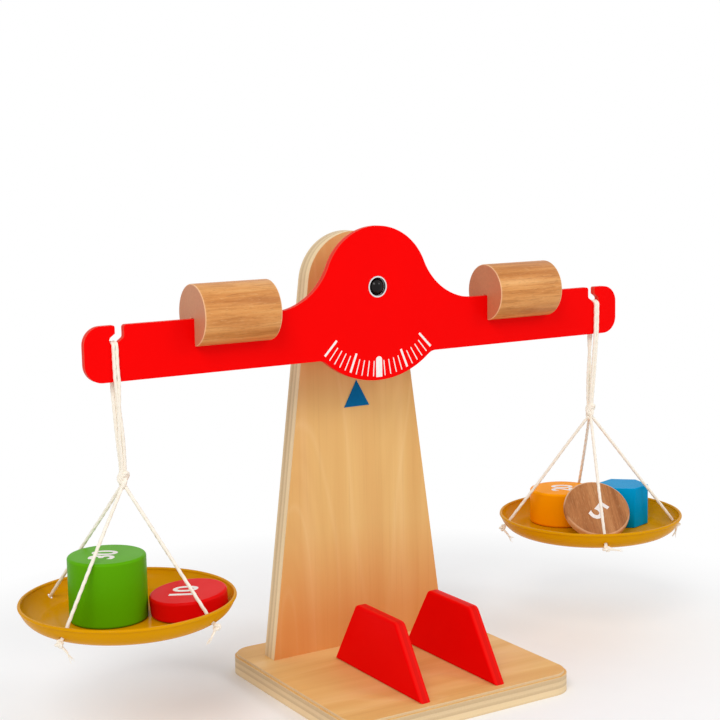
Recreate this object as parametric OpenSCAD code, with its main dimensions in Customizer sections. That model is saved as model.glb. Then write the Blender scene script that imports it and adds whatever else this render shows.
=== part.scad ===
/* [Base] */
// Length of the base board along the beam
base_len = 150; // [136:1:180]
// Reach of the base board in front of the pivot plane
base_front = 90; // [86:1:110]
// Reach of the base board behind the pivot plane
base_back = 58; // [48:1:80]
// Thickness of the base board
base_t = 12; // [9:0.5:18]
// Corner radius of the base board
base_corner = 14; // [4:1:20]
// Edge rounding of the base board's upper edge
base_edge = 1.5; // [0.5:0.5:3]

/* [Post] */
// Thickness of the plywood post
post_t = 12; // [9:0.5:15]
// Width of the post where it stands on the base
post_foot_w = 121; // [100:1:130]
// Radius of the post's round head, centred on the pivot
post_head_r = 31.4; // [26:0.2:36]
// Distance from the beam's back face to the post's front face
post_gap = 22.3; // [16:0.1:30]
// Width of the pointer triangle
pointer_w = 17.5; // [12:0.5:26]
// Height of the pointer triangle
pointer_h = 16; // [10:0.5:24]
// Distance from the pivot down to the pointer's tip
pointer_drop = 57.5; // [56.5:0.5:70]

/* [Pivot] */
// Height of the pivot above the table
pivot_h = 232; // [225:1:250]
// Diameter of the pivot bolt
bolt_d = 6; // [5:0.5:8]
// Diameter of the bolt's domed head
bolt_head_d = 9.4; // [9:0.1:10]
// Height of the bolt's domed head
bolt_head_h = 3.2; // [2.5:0.1:4]
// Outside diameter of the metal bush in the beam
bush_d = 12.4; // [12:0.1:14]
// Diameter of the recess in the front of the bush
bush_recess_d = 10.8; // [10.6:0.1:11.4]
// Depth of the recess in the front of the bush
bush_recess = 1.6; // [1:0.1:2.5]
// Diameter of the wooden spacer behind the beam
spacer_d = 22; // [18:0.5:28]
// Outside diameter of the washer
washer_d = 12; // [11:0.5:18]
// Thickness of the washer
washer_t = 1.2; // [0.8:0.1:2]
// Width of the nut across its flats
nut_af = 10; // [9:0.5:13]
// Height of the nut
nut_h = 5.5; // [4:0.5:8]

/* [Beam] */
// Thickness of the plywood beam
beam_t = 4; // [3:0.2:6]
// Length of the beam
beam_len = 360; // [350:1:390]
// Height of the two arms
arm_h = 30; // [26:0.5:34]
// Distance from the pivot down to the arms' upper edge
arm_drop = 10.2; // [8:0.2:13]
// Radius of the round rise above the pivot
dome_r = 35.2; // [32:0.2:38]
// Radius of the hollow between the rise and an arm
dome_fillet_r = 38.5; // [24:0.5:40]
// Radius of the round lobe below the pivot that carries the dial
lobe_r = 54.6; // [52:0.2:56]
// Radius of the hollow between the lobe and an arm
lobe_fillet_r = 8; // [3:1:12]
// Corner radius at the beam's ends
beam_corner = 10; // [6:0.5:12]
// Distance from the pivot to the near wall of a string slot
slot_x = 157.5; // [154:0.5:160]
// Width of a string slot at its mouth
slot_w = 6.5; // [6:0.1:8]
// Depth of the straight part of a string slot
slot_depth = 6.5; // [5:0.5:9]
// Radius of the round pocket that holds the strings
pocket_r = 2.8; // [2.6:0.1:3.2]
// Depth of the pocket's centre below the arm's upper edge
pocket_drop = 12.4; // [11:0.2:14]

/* [Riders] */
// Diameter of a rider
rider_d = 34; // [30:0.5:38]
// Length of a rider
rider_len = 46.5; // [36:0.5:48]
// Gap left between a rider's slot and the beam, each side
rider_clear = 0.15; // [0.1:0.05:0.4]
// Distance from the pivot to the left rider's middle
left_rider_x = 94; // [92:0.5:110]
// Distance from the pivot to the right rider's middle
right_rider_x = 101; // [92:0.5:110]

/* [Pans] */
// Radius of a pan at its rim
pan_r = 58; // [52:0.5:62]
// Depth of a pan
pan_depth = 11.5; // [9:0.5:12]
// Radius of a pan's flat floor
pan_floor_r = 45; // [42:0.5:48]
// Thickness of a pan's sheet
pan_t = 1; // [0.8:0.1:1.4]
// Radius of the bead along a pan's rim
bead_r = 0.9; // [0.8:0.1:1.4]
// Diameter of the four string holes in a pan
pan_hole_d = 3.4; // [3:0.1:4.2]
// Height of the left pan's underside above the table at rest
left_pan_h = 63.2; // [56:0.2:70]
// Height of the right pan's underside above the table at rest
right_pan_h = 63.8; // [56:0.2:70]
// Turn of the left pan's first string hole from the beam's line
left_pan_turn = 30; // [20:1:40]
// Turn of the right pan's first string hole from the beam's line
right_pan_turn = 60; // [50:1:70]

/* [Strings] */
// Diameter of the cotton string
string_d = 1.8; // [1.4:0.1:2]
// Height of the middle of the left main knot above the table
left_knot_h = 139.2; // [136:0.2:150]
// Height of the middle of the right main knot above the table
right_knot_h = 142; // [136:0.2:150]
// Radius of a main knot
knot_r = 3.6; // [3.2:0.1:4.2]
// Half of the extra height of a main knot
knot_rise = 1.6; // [1:0.1:2.5]
// Radius of the small knots outside the pans
end_knot_r = 2.5; // [2.3:0.1:3]

/* [Rack boards] */
// Thickness of a rack board
rack_t = 7; // [5:0.5:8]
// Distance between the middles of the two rack boards
rack_pitch = 50; // [48:0.5:60]
// Height of a rack board
rack_h = 39; // [30:1:42]
// Length of a rack board's level top edge
rack_top_len = 42; // [30:1:46]
// Distance from the pivot plane forward to the back end of the top edge
rack_top_back = 17; // [14:1:20]
// Length that each sloping end takes up along the base
rack_slope_len = 25; // [20:1:26]

/* [Weights] */
// Diameter of the round weights
weight_d = 42; // [38:0.5:42]
// Height of the green weight
green_h = 35; // [32:0.5:37]
// Height of the orange weight
orange_h = 22; // [18:0.5:26]
// Height of the red weight
red_h = 11; // [9:0.5:13]
// Thickness of the plain wooden disc weight
disc_h = 5.5; // [4:0.5:7]
// Edge rounding of the round weights
weight_edge = 1.5; // [0.5:0.25:1.75]
// Width of the blue six-sided weight across its corners
hex_d = 33; // [28:0.5:36]
// Height of the blue six-sided weight
hex_h = 26; // [18:0.5:28]

/* [Hidden] */

// Facets of large and small rounds
fine = 96;
round_n = 48;
small = 32;
// Overrun of every cut
cut = 1;
// Gap between pieces that lie close but don't touch
gap = 0.2;

// Colours
wood = [0.87, 0.69, 0.45];
beech = [0.82, 0.58, 0.36];
red_paint = [0.85, 0.05, 0.04];
blue_paint = [0.05, 0.4, 0.65];
yellow_paint = [0.9, 0.66, 0.05];
cotton = [0.93, 0.88, 0.78];
steel = [0.78, 0.78, 0.8];
black_steel = [0.1, 0.1, 0.1];

// Places along the depth: the beam's middle plane is at zero
post_y = beam_t / 2 + post_gap;
bolt_clear = 0.05;
paint_t = 0.3;

// The post's edge is tangent to its round head
post_drop = pivot_h - base_t;
post_diag = sqrt(pow(post_foot_w / 2, 2) + pow(post_drop, 2));
post_tangent = atan2(-post_drop, post_foot_w / 2) + acos(post_head_r / post_diag);

// Arms and their fillets, measured from the pivot
arm_top = -arm_drop;
arm_bottom = -arm_drop - arm_h;
fillet_lap = 0.02;
dome_fillet_z = arm_top + dome_fillet_r + fillet_lap;
dome_fillet_x = sqrt(pow(dome_r + dome_fillet_r + fillet_lap, 2) - pow(dome_fillet_z, 2));
lobe_fillet_z = arm_bottom - lobe_fillet_r - fillet_lap;
lobe_fillet_x = sqrt(pow(lobe_r + lobe_fillet_r + fillet_lap, 2) - pow(lobe_fillet_z, 2));
arm_mid = (arm_top + arm_bottom) / 2;

// Strings hang from the middle of the round pockets
pocket_inset_share = 1.2;
hang_x = slot_x + slot_w - pocket_r * pocket_inset_share;
pocket_z = pivot_h + arm_top - pocket_drop;

// Pan outline
pan_wall_w = pan_r - pan_floor_r;
pan_arc_r = (pow(pan_wall_w, 2) + pow(pan_depth, 2)) / (2 * pan_depth);
hole_angle = 48;
hole_count = 4;
hole_out_r = pan_floor_r + pan_arc_r * sin(hole_angle);
hole_out_z = pan_arc_r - pan_arc_r * cos(hole_angle);
hole_in_r = pan_floor_r + (pan_arc_r - pan_t) * sin(hole_angle);
hole_in_z = pan_arc_r - (pan_arc_r - pan_t) * cos(hole_angle);

// Screws
screw_d = 4;
screw_head_d = 8;
screw_head_h = 3;
screw_sink = 0.5;
post_screw_len = 38;
rack_screw_len = 30;
post_screw_share = 0.35;
post_screw_pitch = post_foot_w * post_screw_share;
rack_screw_pitch = 30;
rack_mid_y = -rack_top_back - rack_top_len / 2;
post_mid_y = post_y + post_t / 2;

// Weights on the pans' floors, measured from each pan's middle
left_floor_z = left_pan_h + pan_t;
right_floor_z = right_pan_h + pan_t;
lift = 0.1;
green_x = -10.4;
green_y = 2;
red_x = 29;
red_y = -15.9;
red_tilt = 4.8;
red_rise = 0.2;
orange_x = -2.5;
orange_y = 25.4;
hex_x = 26;
hex_y = -2;
hex_turn = 17;
disc_x = -7;
disc_y = -13.8;
disc_turn = 23;
disc_lean = 48;
disc_rise = lift + (weight_d / 2 - weight_edge) * cos(disc_lean) + weight_edge * (1 - sin(disc_lean));

// A round bar along the depth of the object
module bar_y(d, y0, y1) {
  translate([0, y0, 0])
    rotate([-90, 0, 0])
      cylinder(d = d, h = y1 - y0, $fn = round_n);
}

// A flat outline in the XZ plane, thickened from y0 to y1
module plate_xz(y0, y1) {
  translate([0, y1, 0])
    rotate([90, 0, 0])
      linear_extrude(height = y1 - y0)
        children();
}

// A rectangle with round corners, centred on x, from z0 to z1
module round_rect(len, z0, z1, r) {
  translate([-len / 2 + r, z0])
    square([len - 2 * r, z1 - z0]);
  translate([-len / 2, z0 + r])
    square([len, z1 - z0 - 2 * r]);
  for (x = [-len / 2 + r, len / 2 - r], z = [z0 + r, z1 - r])
    translate([x, z])
      circle(r = r, $fn = round_n);
}

// A countersunk screw, head down at z = 0
module screw(len, d, head_d) {
  cylinder(d1 = head_d, d2 = d, h = screw_head_h, $fn = small);
  cylinder(d = d, h = len, $fn = small);
}

// The hole that a screw fits in the base board
module screw_hole() {
  translate([0, 0, -cut])
    cylinder(d = screw_head_d + 2 * gap, h = cut + screw_sink, $fn = small);
  translate([0, 0, screw_sink])
    cylinder(d1 = screw_head_d + 2 * gap, d2 = screw_d + 2 * gap, h = screw_head_h, $fn = small);
  cylinder(d = screw_d + 2 * gap, h = base_t + cut, $fn = small);
}

module post_screw(i) {
  color(steel)
    translate([i * post_screw_pitch, post_mid_y, screw_sink])
      screw(post_screw_len, screw_d, screw_head_d);
}

module rack_screw(side, i) {
  color(steel)
    translate([side * rack_pitch / 2, rack_mid_y + i * rack_screw_pitch / 2, screw_sink])
      screw(rack_screw_len, screw_d, screw_head_d);
}

module base_outline(inset) {
  translate([0, (base_back - base_front) / 2])
    round_rect(base_len - 2 * inset, -(base_front + base_back) / 2 + inset,
               (base_front + base_back) / 2 - inset, base_corner - inset);
}

module base_board() {
  color(wood)
    difference() {
      union() {
        linear_extrude(height = base_t - base_edge)
          base_outline(0);
        linear_extrude(height = base_t)
          base_outline(base_edge);
      }
      for (i = [-1, 0, 1])
        translate([i * post_screw_pitch, post_mid_y, 0])
          screw_hole();
      for (side = [-1, 1], i = [-1, 1])
        translate([side * rack_pitch / 2, rack_mid_y + i * rack_screw_pitch / 2, 0])
          screw_hole();
    }
}

module post_outline() {
  circle(r = post_head_r, $fn = fine);
  polygon([
    [-post_foot_w / 2, -post_drop],
    [post_foot_w / 2, -post_drop],
    [post_head_r * cos(post_tangent), post_head_r * sin(post_tangent)],
    [-post_head_r * cos(post_tangent), post_head_r * sin(post_tangent)]
  ]);
}

module post() {
  color(wood)
    difference() {
      translate([0, 0, pivot_h])
        plate_xz(post_y, post_y + post_t)
          post_outline();
      translate([0, 0, pivot_h])
        bar_y(bolt_d + 2 * bolt_clear, post_y - cut, post_y + post_t + cut);
      for (i = [-1, 0, 1])
        translate([i * post_screw_pitch, post_mid_y, base_t - cut])
          cylinder(d = screw_d + 2 * bolt_clear, h = post_screw_len - base_t + screw_sink + cut + gap, $fn = small);
    }
}

module pointer_triangle() {
  color(blue_paint)
    translate([0, 0, pivot_h - pointer_drop])
      plate_xz(post_y - paint_t, post_y)
        polygon([[0, 0], [pointer_w / 2, -pointer_h], [-pointer_w / 2, -pointer_h]]);
}

// A rack board: level on top, sloping at both ends
module rack_board(side) {
  color(red_paint)
    difference() {
      translate([side * rack_pitch / 2 - rack_t / 2, 0, base_t])
        rotate([90, 0, 90])
          linear_extrude(height = rack_t)
            polygon([
              [rack_mid_y - rack_top_len / 2 - rack_slope_len, 0],
              [rack_mid_y + rack_top_len / 2 + rack_slope_len, 0],
              [rack_mid_y + rack_top_len / 2, rack_h],
              [rack_mid_y - rack_top_len / 2, rack_h]
            ]);
      for (i = [-1, 1])
        translate([side * rack_pitch / 2, rack_mid_y + i * rack_screw_pitch / 2, base_t - cut])
          cylinder(d = screw_d + 2 * bolt_clear, h = rack_screw_len - base_t + screw_sink + cut + gap, $fn = small);
    }
}

// The pivot bolt lies along Y: domed head in front, shank through to the nut
bolt_front = -beam_t / 2 + bush_recess - gap;
bolt_over = 1;
bolt_back = post_y + post_t + washer_t + nut_h + bolt_over;
dome_ball_r = (pow(bolt_head_d / 2, 2) + pow(bolt_head_h, 2)) / (2 * bolt_head_h);

module pivot_bolt() {
  color(black_steel)
    translate([0, 0, pivot_h]) {
      bar_y(bolt_d, bolt_front - cut, bolt_back);
      intersection() {
        translate([0, bolt_front - bolt_head_h + dome_ball_r, 0])
          sphere(r = dome_ball_r, $fn = round_n);
        bar_y(bolt_head_d, bolt_front - bolt_head_h - cut, bolt_front);
      }
    }
}

module pivot_spacer() {
  color(beech)
    difference() {
      translate([0, 0, pivot_h])
        bar_y(spacer_d, beam_t / 2 + gap, post_y);
      translate([0, 0, pivot_h])
        bar_y(bolt_d + 2 * bolt_clear, 0, post_y + cut);
    }
}

module pivot_washer() {
  color(steel)
    translate([0, 0, pivot_h])
      difference() {
        bar_y(washer_d, post_y + post_t, post_y + post_t + washer_t);
        bar_y(bolt_d + 2 * bolt_clear, post_y, post_y + post_t + washer_t + cut);
      }
}

module pivot_nut() {
  color(steel)
    translate([0, post_y + post_t + washer_t, pivot_h])
      rotate([-90, 0, 0])
        difference() {
          cylinder(d = nut_af / cos(30), h = nut_h, $fn = 6);
          translate([0, 0, -cut])
            cylinder(d = bolt_d + 2 * bolt_clear, h = nut_h + 2 * cut, $fn = round_n);
        }
}

// The web between the arms and the dome or the lobe, before its hollows are cut
module web(x, z, r, round_r) {
  share = (round_r - cut) / (round_r + r);
  s = sign(z);
  polygon([
    [s * x, arm_mid], [s * x, z], [s * x * share, z * share],
    [-s * x * share, z * share], [-s * x, z], [-s * x, arm_mid]
  ]);
}

module beam_outline() {
  difference() {
    union() {
      round_rect(beam_len, arm_bottom, arm_top, beam_corner);
      circle(r = dome_r, $fn = fine);
      intersection() {
        circle(r = lobe_r, $fn = fine);
        translate([-lobe_r, -2 * lobe_r])
          square([2 * lobe_r, 2 * lobe_r + arm_mid - cut]);
      }
      web(dome_fillet_x, dome_fillet_z, dome_fillet_r, dome_r);
      web(lobe_fillet_x, lobe_fillet_z, lobe_fillet_r, lobe_r);
    }
    for (side = [-1, 1]) {
      translate([side * dome_fillet_x, dome_fillet_z])
        circle(r = dome_fillet_r, $fn = fine);
      translate([side * lobe_fillet_x, lobe_fillet_z])
        circle(r = lobe_fillet_r, $fn = fine);
    }
  }
}

// String slot on the right: down from the top edge, then outward into a round pocket
module slot_outline() {
  translate([slot_x, arm_top - slot_depth])
    square([slot_w, slot_depth + cut]);
  polygon([
    [slot_x, arm_top - slot_depth],
    [slot_x + slot_w, arm_top - slot_depth],
    [hang_x + pocket_r, arm_top - pocket_drop],
    [hang_x - pocket_r, arm_top - pocket_drop]
  ]);
  translate([hang_x, arm_top - pocket_drop])
    circle(r = pocket_r, $fn = small);
}

module beam_plate() {
  color(red_paint)
    translate([0, 0, pivot_h])
      plate_xz(-beam_t / 2, beam_t / 2)
        difference() {
          beam_outline();
          circle(d = bush_d, $fn = round_n);
          slot_outline();
          mirror([1, 0])
            slot_outline();
        }
}

module beam_bush() {
  color(steel)
    translate([0, 0, pivot_h])
      difference() {
        bar_y(bush_d, -beam_t / 2, beam_t / 2);
        bar_y(bolt_d + 2 * bolt_clear, -beam_t, beam_t);
        bar_y(bush_recess_d, -beam_t, -beam_t / 2 + bush_recess);
      }
}

// A rider is a round bar, slotted from below so that it sits on an arm
rider_rest = 0.05;
rider_slot_short = 1.8;
rider_slot_h = rider_d / 2 - rider_slot_short;

module rider(x) {
  color(beech)
    translate([x - rider_len / 2, 0, pivot_h + arm_top + rider_rest])
      difference() {
        translate([0, 0, rider_d / 2 - rider_slot_h])
          rotate([0, 90, 0])
            cylinder(d = rider_d, h = rider_len, $fn = fine);
        translate([-cut, -beam_t / 2 - rider_clear, -rider_d])
          cube([rider_len + 2 * cut, beam_t + 2 * rider_clear, rider_d]);
      }
}

// A round string along flat points [u, v]: u runs out along a radius, v runs up
string_n = 8;
function unit(v) = v / norm(v);
function along(p, i) =
  i == 0 ? unit(p[1] - p[0]) :
  i == len(p) - 1 ? unit(p[i] - p[i - 1]) :
  unit(unit(p[i] - p[i - 1]) + unit(p[i + 1] - p[i]));

module string_run(p, r) {
  rings = [
    for (i = [0 : len(p) - 1], k = [0 : string_n - 1])
      let (d = along(p, i), a = 360 * k / string_n)
        [p[i][0] - d[1] * r * cos(a), -r * sin(a), p[i][1] + d[0] * r * cos(a)]
  ];
  last = (len(p) - 1) * string_n;
  polyhedron(
    points = rings,
    faces = concat(
      [[for (k = [0 : string_n - 1]) k]],
      [[for (k = [string_n - 1 : -1 : 0]) last + k]],
      [for (i = [0 : len(p) - 2], k = [0 : string_n - 1])
        let (a = i * string_n + k, b = i * string_n + (k + 1) % string_n)
          [a, a + string_n, b + string_n, b]]
    )
  );
}

// One string folded over the pocket's floor, both legs running down to the knot
strand_gap = 0.05;
string_side = string_d / 2 + strand_gap;
strand_seat = 0.15;
strand_drop = sqrt(pow(pocket_r - string_d / 2 - strand_seat, 2) - pow(string_side, 2));
strand_z = pocket_z - strand_drop;
bend_r = string_d / 2 + gap;

module loop_string(knot_h) {
  knot_top = knot_h + knot_rise + knot_r;
  half = concat(
    [[string_d / 2 + gap, knot_top + gap], [beam_t / 2 + bend_r, pivot_h + arm_bottom - bend_r]],
    [for (a = [0 : 30 : 90])
      [beam_t / 2 + bend_r * cos(a), strand_z - bend_r + bend_r * sin(a)]]
  );
  back = [for (i = [len(half) - 1 : -1 : 0]) [-half[i][0], half[i][1]]];
  rotate([0, 0, 90])
    string_run(concat(half, back), string_d / 2);
}

module loop(side, knot_h) {
  color(cotton)
    for (i = [-1, 1])
      translate([side * hang_x + i * string_side, 0, 0])
        loop_string(knot_h);
}

module knot(side, knot_h) {
  color(cotton)
    translate([side * hang_x, 0, knot_h])
      for (i = [-1, 1])
        translate([0, 0, i * knot_rise])
          sphere(r = knot_r, $fn = small);
}

module pan_section() {
  intersection() {
    difference() {
      translate([pan_floor_r, pan_arc_r])
        circle(r = pan_arc_r, $fn = fine);
      translate([pan_floor_r, pan_arc_r])
        circle(r = pan_arc_r - pan_t, $fn = fine);
    }
    translate([pan_floor_r, 0])
      square([pan_wall_w + cut, pan_depth]);
  }
  square([pan_floor_r, pan_t]);
  translate([pan_r - pan_t / 2, pan_depth - bead_r])
    circle(r = bead_r, $fn = small);
}

module pan(side, turn, pan_h) {
  color(yellow_paint)
    translate([side * hang_x, 0, pan_h])
      difference() {
        rotate_extrude($fn = fine)
          pan_section();
        for (i = [0 : hole_count - 1])
          rotate([0, 0, turn + 360 * i / hole_count])
            translate([pan_floor_r, 0, pan_arc_r])
              rotate([0, 180 - hole_angle, 0])
                translate([0, 0, pan_arc_r - pan_depth / 2])
                  cylinder(d = pan_hole_d, h = pan_depth, $fn = small);
      }
}

// Four strings from the main knot through the pan's holes, each with its end knot
module cradle(side, turn, pan_h, knot_h) {
  start_r = knot_r + knot_rise + 2 * gap;
  top = knot_h - pan_h;
  out = [sin(hole_angle), -cos(hole_angle)];
  inside = [hole_in_r, hole_in_z] - out * string_d;
  aim = unit([inside[0], inside[1] - top]);
  end = [hole_out_r, hole_out_z] + out * (end_knot_r + gap);
  color(cotton)
    translate([side * hang_x, 0, pan_h])
      for (i = [0 : hole_count - 1])
        rotate([0, 0, turn + 360 * i / hole_count]) {
          string_run([
            [0, top] + aim * start_r,
            inside - aim * string_d,
            inside,
            end
          ], string_d / 2);
          translate([end[0], 0, end[1]])
            sphere(r = end_knot_r, $fn = small);
        }
}

// A round weight standing on z = 0, with softly rounded edges
module weight(h) {
  rotate_extrude($fn = fine)
    intersection() {
      round_rect(weight_d, 0, h, weight_edge);
      square([weight_d, h]);
    }
}

module green_weight() {
  color([0.4, 0.65, 0.1])
    translate([-hang_x + green_x, green_y, left_floor_z + lift])
      weight(green_h);
}

module red_weight() {
  color(red_paint)
    translate([-hang_x + red_x, red_y, left_floor_z + red_rise])
      rotate([0, -red_tilt, 0])
        translate([0, 0, weight_d / 2 * sin(red_tilt)])
          weight(red_h);
}

module orange_weight() {
  color([0.95, 0.5, 0.05])
    translate([hang_x + orange_x, orange_y, right_floor_z + lift])
      weight(orange_h);
}

module wooden_disc() {
  color(beech)
    translate([hang_x + disc_x, disc_y, right_floor_z + disc_rise])
      rotate([0, 0, -disc_turn])
        rotate([90 - disc_lean, 0, 0])
          weight(disc_h);
}

module blue_hexagon() {
  color([0.05, 0.55, 0.8])
    translate([hang_x + hex_x, hex_y, right_floor_z + lift])
      rotate([0, 0, hex_turn])
        cylinder(d = hex_d, h = hex_h, $fn = 6);
}

base_board();
post();
pointer_triangle();
rack_board(-1);  // left_rack_board
rack_board(1);  // right_rack_board
post_screw(-1);  // post_screw_left
post_screw(0);  // post_screw_middle
post_screw(1);  // post_screw_right
rack_screw(-1, -1);  // left_rack_screw_front
rack_screw(-1, 1);  // left_rack_screw_back
rack_screw(1, -1);  // right_rack_screw_front
rack_screw(1, 1);  // right_rack_screw_back
pivot_bolt();
pivot_spacer();
pivot_washer();
pivot_nut();
beam_plate();
beam_bush();
rider(-left_rider_x);  // left_rider
rider(right_rider_x);  // right_rider
loop(-1, left_knot_h);  // left_loop
knot(-1, left_knot_h);  // left_knot
loop(1, right_knot_h);  // right_loop
knot(1, right_knot_h);  // right_knot
pan(-1, left_pan_turn, left_pan_h);  // left_pan
pan(1, right_pan_turn, right_pan_h);  // right_pan
cradle(-1, left_pan_turn, left_pan_h, left_knot_h);  // left_strings
cradle(1, right_pan_turn, right_pan_h, right_knot_h);  // right_strings
green_weight();
red_weight();
orange_weight();
wooden_disc();
blue_hexagon();
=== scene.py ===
"""Looks of a wooden balance scale toy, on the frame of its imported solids."""

import math
import random

import bpy
import numpy as np
from mathutils import Matrix, Vector


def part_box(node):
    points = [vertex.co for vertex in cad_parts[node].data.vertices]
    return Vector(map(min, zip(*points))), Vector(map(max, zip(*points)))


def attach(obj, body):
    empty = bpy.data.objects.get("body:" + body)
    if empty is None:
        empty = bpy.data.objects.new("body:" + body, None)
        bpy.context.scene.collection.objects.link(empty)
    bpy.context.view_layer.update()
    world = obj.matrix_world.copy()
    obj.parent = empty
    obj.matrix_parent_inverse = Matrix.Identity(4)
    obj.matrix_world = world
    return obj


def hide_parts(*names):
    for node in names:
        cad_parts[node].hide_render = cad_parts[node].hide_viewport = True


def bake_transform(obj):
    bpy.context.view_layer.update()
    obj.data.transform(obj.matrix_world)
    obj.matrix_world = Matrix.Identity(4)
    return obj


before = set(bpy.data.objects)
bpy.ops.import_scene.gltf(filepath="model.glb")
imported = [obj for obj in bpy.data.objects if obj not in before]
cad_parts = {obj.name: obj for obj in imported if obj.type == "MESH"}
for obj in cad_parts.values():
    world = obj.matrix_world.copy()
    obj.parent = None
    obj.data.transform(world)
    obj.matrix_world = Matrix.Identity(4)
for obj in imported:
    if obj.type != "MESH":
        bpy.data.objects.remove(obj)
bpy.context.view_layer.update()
MM = 0.001

# The pivot's height above the table, and the beam plate measured from it, in millimetres
PIVOT = 232.0
PLATE_T, PLATE_SOFT = 4.0, 0.3
ARM_TOP, ARM_BOTTOM, HALF_LEN, END_R = -10.2, -40.2, 180.0, 10.0
DOME_R, DOME_FILLET, LOBE_R, LOBE_FILLET = 35.2, 38.5, 54.6, 8.0
BUSH_RECESS_R = 5.35

# The string slot: a mouth in the arm's top, and a hooked pocket to its outer side
SLOT_X, MOUTH_W, INNER_LIP_R, OUTER_LIP_R = 157.5, 5.0, 1.6, 1.1
POCKET_X, POCKET_Z, POCKET_R = 163.3, -18.2, 2.5
POCKET_FROM, POCKET_TO, OUTER_WALL_END = 62, -145, 3.6
INNER_WALL_BEND = ((0.5, 6.9), (0.0, 6.1))

# The rack boards' slopes and corners
SLOPE_LEN, CORNER_R, BOARD_SOFT = 25.0, 4.5, 1.5

# Dial marks: degrees from mark to mark, and the radius of their feet, short and long ends
MARK_PITCH, MARK_FOOT, MARK_TOP, MARK_LONG = 4.4, 52.2, 43.2, 40.6
SIDE_MARKS, LONG_EVERY, MIDDLE_MARK_DROP = 10, 5, 0.5
MIDDLE_MARK_W, LONG_MARK_W, SHORT_MARK_W, MARK_INK_T = 4.2, 1.35, 0.62, 0.045
MIDDLE_MARK_R, MARK_R = 1.9, 0.25

# Strings, and the pans' holes in the curved wall between floor and rim
STRING_R, STRING_STEP, TWIST_PITCH, TWIST_DEPTH, STRING_SIDES = 1.0, 0.4, 5.2, 0.075, 15
HOLE_ANGLE, FLOOR_R, ARC_R, SHEET = 48.0, 45.0, 13.1, 1.0

# The weights, and the numbers on them
DISC_TURN, DISC_LEAN, DISC_T = 23.0, 48.0, 5.5
RED_TILT, RED_H, WEIGHT_R, RED_RISE = math.radians(4.8), 11.0, 21.0, 0.2
NUMBER_H, CAPITAL_SHARE, NUMBER_BOLD, NUMBER_GAP = 13.6, 0.72, 0.42, 0.94
NUMBER_INK_T, NUMBER_LIFT = 0.02, 0.03

# Rounded edges and smooth shading, in millimetres and degrees
JOIN_GAP, FLAT_BELOW, ROUND_ABOVE, SMOOTH_BELOW, PLATE_SMOOTH_BELOW = 0.002, 0.5, 38, 50, 42


# Colours and materials


def srgb(r, g, b):
    """An 8-bit screen colour as a linear one."""
    out = []
    for c in (r, g, b):
        c /= 255
        out.append(c / 12.92 if c <= 0.04045 else ((c + 0.055) / 1.055) ** 2.4)
    return (*out, 1.0)


def darker(color, share):
    """The colour with that share of its brightness."""
    return tuple(c * share for c in color[:3]) + (1,)


def along_grain(grain, across, along):
    """A texture's scale that is drawn out along the grain's axis."""
    scale = [across] * 3
    scale[grain] = along
    return scale


class Tree:
    """A material and short ways to add nodes to it."""

    def __init__(self, name, **values):
        self.mat = bpy.data.materials.new(name)
        self.mat.use_nodes = True
        self.t = self.mat.node_tree
        self.bsdf = self.t.nodes["Principled BSDF"]
        for key, value in values.items():
            self.set(key.replace("_", " "), value)
        coord = self.t.nodes.new("ShaderNodeTexCoord")
        self.at = coord.outputs["Object"]
        self.normal = coord.outputs["Normal"]

    def feed(self, socket, value):
        """Links the socket to another one, or gives it a constant value."""
        if isinstance(value, bpy.types.NodeSocket):
            self.t.links.new(value, socket)
        else:
            socket.default_value = value

    def set(self, key, value):
        self.feed(self.bsdf.inputs[key], value)

    def node(self, kind, inputs=(), **props):
        n = self.t.nodes.new("ShaderNode" + kind)
        for key, value in props.items():
            setattr(n, key, value)
        for key, value in dict(inputs).items():
            self.feed(n.inputs[key], value)
        return n

    def place(self, scale):
        """Coordinates in metres on the piece, times the scale."""
        return self.node("Mapping", {"Vector": self.at, "Scale": scale}).outputs[0]

    def noise(self, vector, detail=3, rough=0.55, bend=0.0):
        ins = {"Vector": vector, "Scale": 1.0, "Detail": detail, "Roughness": rough,
               "Distortion": bend}
        return self.node("TexNoise", ins).outputs["Fac"]

    def cloud(self, scale, detail=3, rough=0.55):
        """Noise that is alike in all directions."""
        return self.noise(self.place((scale, scale, scale)), detail, rough)

    def ramp(self, fac, *stops):
        """Colours, or grey values, that follow the factor from stop to stop."""
        n = self.node("ValToRGB", {"Fac": fac})
        e = n.color_ramp.elements
        while len(e) < len(stops):
            e.new(0.5)
        for i, (at, color) in enumerate(stops):
            e[i].position = at
            e[i].color = color if isinstance(color, tuple) else (color, color, color, 1)
        return n.outputs["Color"]

    def mix(self, fac, a, b):
        """A colour between two. Sockets 6 and 7, and 2 at the output, are the colours."""
        return self.node("Mix", {0: fac, 6: a, 7: b}, data_type="RGBA").outputs[2]

    def wash(self, under, over, fac, *stops):
        """Lays a colour over another, as strongly as the factor's ramp says."""
        return self.mix(self.ramp(fac, *stops), under, over)

    def math(self, kind, *values):
        return self.node("Math", enumerate(values), operation=kind).outputs[0]

    def part(self, vector, axis):
        return self.node("SeparateXYZ", {"Vector": vector}).outputs[axis]

    def facing(self, axis, edge=0.6, soft=0.08):
        """1 where the surface faces along that axis of the piece, else 0."""
        n = self.math("ABSOLUTE", self.part(self.normal, axis))
        return self.ramp(n, (edge - soft, 0.0), (edge + soft, 1.0))

    def bump(self, height, strength, depth=0.2):
        """Unevenness, with its depth in millimetres."""
        ins = {"Height": height, "Strength": strength, "Distance": depth * MM}
        self.set("Normal", self.node("Bump", ins).outputs[0])


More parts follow.
